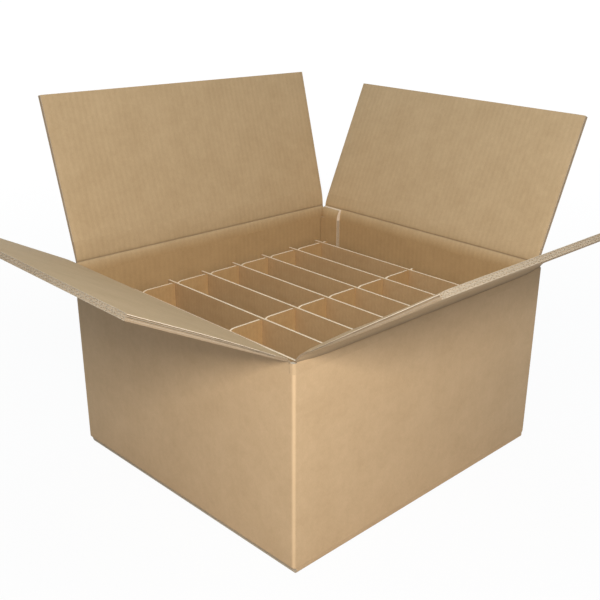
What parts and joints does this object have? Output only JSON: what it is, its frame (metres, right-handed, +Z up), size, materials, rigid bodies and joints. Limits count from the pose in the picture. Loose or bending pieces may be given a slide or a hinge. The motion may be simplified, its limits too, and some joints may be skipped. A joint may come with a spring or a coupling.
{
  "type": "bottle shipping box",
  "caption": "Open corrugated shipping box with hinged top flaps and interlocking slotted dividers that part the inside into bottle cells.",
  "frame": {"origin": "middle of the bottom face, where the outer bottom flaps meet", "axes": "+Z up, +X along the long side to the wall with the glued tab, +Y across to the back wall"},
  "size_m": [0.7742, 0.689, 0.4991],
  "materials": {
    "double_wall_board": "plain kraft, matt",
    "single_wall_board": "plain kraft, matt"
  },
  "bodies": {
    "box": {"box_shell": "double_wall_board", "cross_divider_1": "single_wall_board", "cross_divider_2": "single_wall_board", "cross_divider_3": "single_wall_board", "cross_divider_4": "single_wall_board", "cross_divider_5": "single_wall_board", "cross_divider_6": "single_wall_board", "cross_divider_7": "single_wall_board", "cross_divider_8": "single_wall_board", "long_divider_1": "single_wall_board", "long_divider_2": "single_wall_board", "long_divider_3": "single_wall_board"},
    "front_flap": {"front_flap": "double_wall_board"},
    "back_flap": {"back_flap": "double_wall_board"},
    "left_flap": {"left_flap": "double_wall_board"},
    "right_flap": {"right_flap": "double_wall_board"}
  },
  "joints": [
    {"name": "front_fold", "type": "hinge", "parent": "box", "child": "front_flap", "pos_m": [0, -0.2218, 0.2836], "axis": [1, 0, 0], "range_deg": [-147.9, 92.1]},
    {"name": "back_fold", "type": "hinge", "parent": "box", "child": "back_flap", "pos_m": [0, 0.2218, 0.2836], "axis": [-1, 0, 0], "range_deg": [-104.7, 135.3]},
    {"name": "left_fold", "type": "hinge", "parent": "box", "child": "left_flap", "pos_m": [-0.2418, 0, 0.2763], "axis": [0, -1, 0], "range_deg": [-152.6, 87.4]},
    {"name": "right_fold", "type": "hinge", "parent": "box", "child": "right_flap", "pos_m": [0.2418, 0, 0.2763], "axis": [0, 1, 0], "range_deg": [-114.7, 125.3]}
  ]
}
